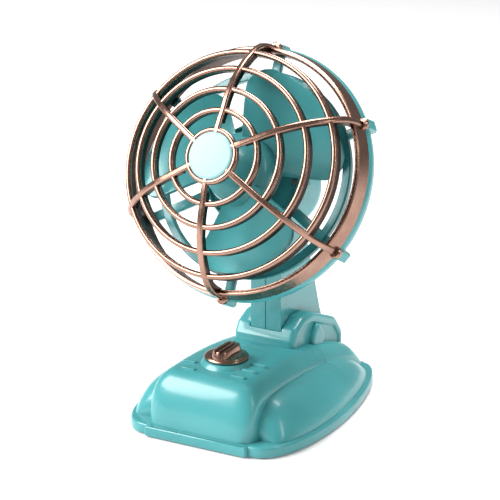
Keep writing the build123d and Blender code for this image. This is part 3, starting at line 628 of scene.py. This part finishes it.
def lofted(name, sections):
    """Bridge closed section loops, given in millimetres, and close both ends."""
    loops = []
    for i, points in enumerate(sections):
        loop = start_at(f"{name}_{i}", points[0])
        draw_line(points + [points[0]])
        bpy.ops.mesh.select_all(action="SELECT")
        bpy.ops.mesh.remove_doubles(threshold=0.001 * mm)
        if i in (0, len(sections) - 1):
            bpy.ops.mesh.select_all(action="SELECT")
            bpy.ops.mesh.edge_face_add()
        bpy.ops.object.mode_set(mode="OBJECT")
        loops.append(loop)
    piece = joined(loops, name)
    edit("EDGE")
    count = len(sections[0])
    for i in range(len(sections) - 1):
        low, high = i * count, (i + 2) * count
        bpy.ops.mesh.select_all(action="DESELECT")
        bpy.ops.object.mode_set(mode="OBJECT")
        for edge in piece.data.edges:
            a, b = edge.vertices
            edge.select = low <= a < high and low <= b < high and a // count == b // count
        bpy.ops.object.mode_set(mode="EDIT")
        bpy.ops.mesh.bridge_edge_loops()
    return tidy(piece, 50)


def hood_section(y):
    half, high = hood_width(y), hood_height(y)
    round_x, round_z = min(9.0, 0.42 * half), min(9.0, 0.62 * high)
    lean = 0.7
    corner = [(half - lean - round_x + round_x * cos(a), high - round_z + round_z * sin(a))
              for a in [pi / 2 * i / 10 for i in range(11)]]
    side = [(half, 0.8), (half - 0.25 * lean, 0.4 * (high - round_z))] + corner
    crown = 0.35
    top = [(0.5 * half, high + crown * 0.75), (0, high + crown)]
    right = side + top
    return [(x, y, z) for x, z in right] + [(-x, y, z) for x, z in reversed(right) if x > 0]


front, rear = brow - hood_end, hood_end - tail
stations = [-hood_end + brow * (1 - cos(pi / 2 * i / 9)) for i in range(1, 9)]
stations += [front + (rear - front) * i / 14 for i in range(15)]
stations += [hood_end - tail * (1 - cos(pi / 2 * i / 7)) for i in range(6, 0, -1)]
hood = lofted("hood", [hood_section(y) for y in stations])


def fender_section(y):
    start = hood_half - 3.0
    reach = flange_half_width(y) - 1.3 - start
    high = crease_height(y)
    rise = [(start + reach * cos(a), 0.8 + (high - 0.8) * sin(a))
            for a in [pi / 2 * i / 14 for i in range(15)]]
    return [(start, y, 0.8)] + [(x, y, z) for x, z in rise]


# stations as shares of the half length, closer together where the front rounds off
shares = [-0.8295, -0.828, -0.824, -0.815, -0.80, -0.775, -0.74, -0.68, -0.60, -0.5, -0.4, -0.28, -0.15,
          0, 0.15, 0.3, 0.44, 0.56, 0.66, 0.74, 0.8, 0.84]
fender = lofted("fender", [fender_section(share * half_length) for share in shares])
other = fender.copy()
other.data = fender.data.copy()
scene.collection.objects.link(other)
set_in_place(other, Matrix.Diagonal((-1, 1, 1, 1)))
edit()
tidy(other, 50)
print("sections:", len(stations), len(shares))

# %% [markdown]
# On the real fan these are one moulding with no seams, so the shapes are united by
# booleans, and the openings for the saddle and the switch are cut from the result.

# %% Collar under the knob, and one united shell
collar_outline = [(0.001, 18), (15.5, 18), (14.8, 22.5), (12.8, 24.6), (11.2, 26.2), (10.1, 27.7),
                  (9.5, 28.6), (8.9, 29.0), (0.001, 29.0)]
knob_collar = turned("knob_collar", collar_outline, 64)
set_in_place(knob_collar, Matrix.Translation((0, knob_centre.y, 0)))


def unite(piece, other, operation="UNION"):
    """A boolean with another mesh, which is then removed."""
    made = piece.modifiers.new("unite", "BOOLEAN")
    made.operation = operation
    made.solver = "EXACT"
    made.object = other
    bpy.context.view_layer.objects.active = piece
    bpy.ops.object.modifier_apply(modifier=made.name)
    bpy.data.objects.remove(other)
    return piece


def block(name, low, high, bevel=0.0):
    """A box between two corners, in millimetres, with its upright edges rounded."""
    bpy.ops.object.select_all(action="DESELECT")
    low, high = Vector(low) * mm, Vector(high) * mm
    bpy.ops.mesh.primitive_cube_add(size=1, location=(low + high) / 2, scale=high - low)
    piece = bpy.context.object
    piece.name = name
    bpy.ops.object.transform_apply(location=True, rotation=True, scale=True)
    if bevel:
        edit("EDGE")
        select("EDGE", lambda a, b: abs(a.z - b.z) > 0.01)
        bpy.ops.mesh.bevel(offset=bevel * mm, segments=4)
        bpy.ops.object.mode_set(mode="OBJECT")
    return piece


shell = flange
for extra in (hood, fender, other, knob_collar):
    unite(shell, extra)
shell.name = "base_moulding"
saddle_low, saddle_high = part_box("saddle")
well_front, well_rear = 4.3, 46.5
unite(shell, block("well", (-12.5, well_front, 5), (12.5, well_rear, 40)), "DIFFERENCE")
hole = turned("hole", [(0.001, 15), (3.2, 15), (3.2, 35), (0.001, 35)], 48)
set_in_place(hole, Matrix.Translation((0, knob_centre.y, 0)))
unite(shell, hole, "DIFFERENCE")
print("shell:", len(shell.data.polygons), "faces")

# %% [markdown]
# A moulded shell is open below and has one wall thickness all over. Its underside is
# deleted and a Solidify modifier thickens what is left inwards, so the outside stays put.
# The marks beside the knob are plain raised bars, modelled once for each place.

# %% Open the shell underneath, give it a wall, and add the raised marks
bpy.ops.object.select_all(action="DESELECT")
shell.select_set(True)
bpy.context.view_layer.objects.active = shell
edit("FACE")
select("FACE", lambda centre, normal: normal.z < -0.9 and centre.z < flange_bottom + 0.1)
bpy.ops.mesh.delete(type="FACE")
select("FACE", lambda centre, normal: centre.z < 8 and 5 < centre.z and normal.z > 0.9
       and abs(centre.x) < 12.6 and well_front < centre.y < well_rear)
bpy.ops.mesh.delete(type="FACE")
bpy.ops.object.mode_set(mode="OBJECT")
shell_wall = 1.6
modify(shell, "SOLIDIFY", thickness=shell_wall * mm, offset=-1.0, use_even_offset=False)
bpy.ops.object.shade_smooth_by_angle(angle=radians(32))
marks = []
for x, y in [(-13.2, -33.0), (-10.0, -39.5), (13.0, -24.0), (12.6, -31.0), (11.6, -38.0)]:
    top = hood_height(y) + 0.9
    mark = block("mark", (x - 3.1, y - 0.8, top - 2.0), (x + 3.1, y + 0.8, top), 0.7)
    marks.append(rounded(mark, 0.3, 3, 60))
shell = joined([shell] + marks, "base_moulding")
finish_piece(shell, glossy_abs, "base", "shell_plastic", "base_shell")

# %% [markdown]
# ## Saddle
# The saddle is a separate moulding that straddles the neck and covers the tilt pin. Its
# side view is an arch that falls away to the rear, and each side has a broad rounded border
# round a sunken panel, with an arched boss over the pin's end. A side view extruded across,
# bevelled, and inset on its sides gives exactly that.

# %% Saddle block


def eased(points, radii, steps=7):
    """An open line with its inner corners rounded to the given radii."""
    result = [Vector(points[0])]
    for i, radius in enumerate(radii):
        before, corner, after = (Vector(points[i + k]) for k in range(3))
        back, on = (before - corner).normalized(), (after - corner).normalized()
        half = back.angle(on) / 2
        cut = radius * cos(half) / sin(half)
        cut = min(cut, 0.48 * (before - corner).length, 0.48 * (after - corner).length)
        start, end = corner + back * cut, corner + on * cut
        for k in range(steps + 1):
            t = k / steps
            result.append(start * (1 - t) ** 2 + corner * (2 * t * (1 - t)) + end * t**2)
    return result + [Vector(points[-1])]


def across(name, outline, low, high):
    """A prism: a closed outline of (Y, Z) points extruded along X from low to high."""
    piece = start_at(name, (low, *outline[0]))
    draw_line([(low, y, z) for y, z in outline] + [(low, *outline[0])])
    bpy.ops.mesh.select_all(action="SELECT")
    bpy.ops.mesh.remove_doubles(threshold=0.001 * mm)
    bpy.ops.mesh.select_all(action="SELECT")
    bpy.ops.mesh.edge_face_add()
    bpy.ops.mesh.extrude_region_move(TRANSFORM_OT_translate={"value": ((high - low) * mm, 0, 0)})
    return tidy(piece)


def drawn_in(points, depth):
    """A closed clockwise outline with every edge moved inwards by depth."""
    result = []
    for i, corner in enumerate(points):
        before, after = Vector(points[i - 1]), Vector(points[(i + 1) % len(points)])
        corner = Vector(corner)
        one, two = (corner - before).normalized(), (after - corner).normalized()
        normal_one, normal_two = Vector((one.y, -one.x)), Vector((two.y, -two.x))
        result.append(corner + (normal_one + normal_two) * depth / (1 + normal_one.dot(normal_two)))
    return result


def arch(depth, x):
    """The saddle's side view drawn in by depth, as a closed loop at x."""
    line = eased(drawn_in(side_corners, depth), [max(radius - depth, 0.4) for radius in side_radii])
    return [(x, point.x, point.y) for point in line]


saddle_half = 14.0
front_y = saddle_low.y / mm
rear_y = saddle_high.y / mm
pivot_y, pivot_z = pivot.y / mm, pivot.z / mm
side_corners = [(front_y, 6), (front_y, 27.8), (front_y + 2.9, 32.4), (pivot_y - 10.5, 35.6),
                (pivot_y - 2.5, 35.4), (rear_y - 6.2, 26.6), (rear_y, 19.0), (rear_y, 6)]
side_radii = [2.6, 3.0, 7, 12, 9, 5]
edge_round = 2.2
border = 3.6
profile = [(border + 0.9, saddle_half - 0.9), (border + 0.6, saddle_half - 0.85),
           (border + 0.2, saddle_half - 0.25), (border - 0.2, saddle_half)]
profile += [(edge_round * (1 - sin(a)), saddle_half - edge_round * (1 - cos(a)))
            for a in [pi / 2 * k / 6 for k in range(7)]]
half_loops = [arch(depth, x) for depth, x in profile]
left_loops = [[(-x, y, z) for x, y, z in loop] for loop in half_loops]
saddle = lofted("saddle_moulding", left_loops + half_loops[::-1])
slot = block("slot", (-7.3, 5.7, 0), (7.3, 44.8, 45))
unite(saddle, slot, "DIFFERENCE")
rounded(saddle, 0.35, 2, 60)
boss_half = 4.9
boss_low, boss_shoulder, boss_peak = 15, 24.3, 31.5
boss_corners = [(pivot_y - boss_half, boss_low), (pivot_y - boss_half, boss_shoulder), (pivot_y, boss_peak),
                (pivot_y + boss_half, boss_shoulder), (pivot_y + boss_half, boss_low)]
boss_view = eased(boss_corners, [3.2, 4.2, 3.2])
bosses = []
for side in (-1, 1):
    boss = across("boss", [tuple(p) for p in boss_view], side * 12.4, side * 15.4)
    edit("FACE")
    select("FACE", lambda centre, normal: normal.x * side > 0.9)
    bpy.ops.mesh.region_to_loop()
    bpy.ops.mesh.bevel(offset=1.3 * mm, segments=4, profile=0.5)
    bosses.append(tidy(boss, 40))
saddle = joined([saddle] + bosses, "saddle_moulding")
finish_piece(saddle, glossy_abs, "base", "shell_plastic", "saddle")

# %% [markdown]
# ## Speed knob
# A plated disc with a sloping skirt and a raised grip bar, ribbed along its length so that
# fingers hold it. The disc is turned, and the bar is a block whose top is drawn in and cut
# with two grooves.

# %% Knob
knob_low, knob_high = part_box("speed_knob")
knob_radius = (knob_high.x - knob_low.x) / 2 / mm
knob_tall = (knob_high.z - knob_low.z) / mm
skirt = turned("skirt", [(0.001, 0), (knob_radius - 0.6, 0), (knob_radius - 0.1, 0.25), (knob_radius, 0.8),
                         (knob_radius - 0.3, 1.25), (knob_radius - 1.1, 1.7), (knob_radius - 2.2, 2.0),
                         (4.0, 2.5), (0.001, 2.6)], 96)
grip = block("grip", (-3.9, -8.3, 0.6), (3.9, 8.3, knob_tall), 3.4)
edit("VERT")
select("VERT", lambda co: co.z > knob_tall - 0.1)
bpy.ops.transform.resize(value=(0.8, 0.86, 1))
bpy.ops.object.mode_set(mode="OBJECT")
rounded(grip, 0.45, 3, 40)
for x in (-1.15, 1.15):
    groove = block("groove", (x - 0.45, -9, knob_tall - 0.95), (x + 0.45, 9, knob_tall + 1), 0)
    unite(grip, groove, "DIFFERENCE")
rounded(grip, 0.12, 2, 60)
knob = joined([skirt, grip], "plated_knob")
set_in_place(knob, Matrix.Translation((knob_centre.x, knob_centre.y, knob_low.z)))
bpy.ops.object.shade_smooth_by_angle(angle=radians(35))
finish_piece(knob, bronze_plated, "knob", "bronze_plating", "speed_knob")

# %% [markdown]
# ## Rear guard
# Behind the plated hoop the head is closed by a moulded guard: a rim, an inner ring, six
# spokes and a plate that the motor pod is screwed to. Its six lugs hook over the ends of the
# grille's ribs.

# %% Rim, ring, plate, spokes and lugs
guard_parts = [
    turned("rim", [(49.3, -6.6), (50.9, -6.6), (51.4, -7.2), (51.6, -8.6), (51.4, -10.9), (50.9, -11.5),
                   (49.9, -11.5), (49.5, -11.0), (49.3, -9.0)], 144),
    turned("inner_ring", [(38.6, -9.4), (39.1, -8.9), (41.6, -8.9), (42.1, -9.4), (42.1, -11.6), (41.7, -12.0),
                          (39.0, -12.0), (38.6, -11.6)], 128),
    turned("plate", [(3.0, -10.4), (14.0, -10.2), (19.6, -10.2), (20.0, -9.3), (20.6, -9.2), (21.0, -9.6),
                     (21.0, -11.7), (20.7, -12.0), (3.0, -12.0)], 96),
]
spoke = block("spoke", (19.8, -2.0, -12.0), (49.6, 2.0, -9.6))
spoke = rounded(spoke, 0.5, 3, 60)
lug_corners = [(50.4, -6.7), (52.8, -6.7), (53.4, -13.3), (52.3, -15.4), (49.8, -14.8), (49.8, -10.6)]
lug_view = eased(lug_corners, [0.6, 1.0, 0.9, 1.0])
lug = across("lug", [tuple(p) for p in lug_view], -2.1, 2.1)
set_in_place(lug, Matrix.Rotation(-pi / 2, 4, "Z"))
rounded(lug, 0.4, 2, 50)
guard_parts += turned_copies(spoke, rib_angles) + turned_copies(lug, rib_angles)
guard = set_in_place(joined(guard_parts, "rear_guard_moulding"), head_space)
bpy.ops.object.shade_smooth_by_angle(angle=radians(35))
finish_piece(guard, glossy_abs, "head", "shell_plastic", "rear_guard")

# %% [markdown]
# ## Impeller
# A domed hub with three broad paddles. Each paddle is a thin plate with rounded corners,
# pitched more at the hub than at the tip so that it bites evenly. The plate is drawn flat,
# cut into strips so that it can twist, and given its thickness.

# %% Hub and paddles
blade_radius = 41.0
blade_half = radians(44)
corner_radius = 9.0
hub_view = [(0.001, 10.0), (3.0, 10.0), (6.5, 9.6), (9.6, 8.7), (12.0, 7.2), (13.6, 5.4), (14.4, 3.2),
            (14.5, 1.0), (14.5, -5.6), (14.1, -6.0), (0.001, -6.0)]
hub = turned("hub", hub_view, 96)
swing = pi / 2           # the corner turns from the tip onto the straight side
tuck = atan2(corner_radius, ((blade_radius - corner_radius) ** 2 - corner_radius**2) ** 0.5)
centre_angle = blade_half - tuck
outer_arc = [(blade_radius * cos(a), blade_radius * sin(a))
             for a in [centre_angle * k / 12 for k in range(-12, 13)]]
centre = Vector((cos(centre_angle), sin(centre_angle))) * (blade_radius - corner_radius)
fillet_arc = [centre + corner_radius * Vector((cos(a), sin(a)))
              for a in [centre_angle + (blade_half + swing - centre_angle) * k / 12 for k in range(1, 13)]]
root = (12.5 * cos(blade_half), 12.5 * sin(blade_half))
upper = [tuple(p) for p in fillet_arc] + [root]
blade_view = outer_arc + upper + [(x, -y) for x, y in reversed(upper)]
blade = start_at("paddle", (*blade_view[0], 0))
draw_line([(x, y, 0) for x, y in blade_view] + [(*blade_view[0], 0)])
bpy.ops.mesh.select_all(action="SELECT")
bpy.ops.mesh.remove_doubles(threshold=0.001 * mm)
bpy.ops.mesh.select_all(action="SELECT")
bpy.ops.mesh.edge_face_add()
for x in range(12, 41, 3):
    bpy.ops.mesh.select_all(action="SELECT")
    bpy.ops.mesh.bisect(plane_co=(x * mm, 0, 0), plane_no=(1, 0, 0))
for y in range(-24, 25, 4):
    bpy.ops.mesh.select_all(action="SELECT")
    bpy.ops.mesh.bisect(plane_co=(0, y * mm, 0), plane_no=(0, 1, 0))
tidy(blade)
for vert in blade.data.vertices:
    x, y = vert.co.x / mm, vert.co.y / mm
    pitch = radians(30 - 15 * (x - 12) / 29)
    camber = 1.6 * (1 - (y / 28) ** 2)
    vert.co = Vector((x, y - camber * sin(pitch), y * sin(pitch) / cos(pitch) * 0.97 + camber)) * mm
modify(blade, "SOLIDIFY", thickness=1.5 * mm, offset=0)
rounded(blade, 0.55, 3, 50)
first_blade = 48         # degrees from +X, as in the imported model
blade_count = 3
paddles = turned_copies(blade, [first_blade + 360 / blade_count * i for i in range(blade_count)])
impeller = set_in_place(joined([hub] + paddles, "paddle_impeller"), head_space)
bpy.ops.object.shade_smooth_by_angle(angle=radians(40))
finish_piece(impeller, glossy_abs, "fan", "shell_plastic", "impeller")
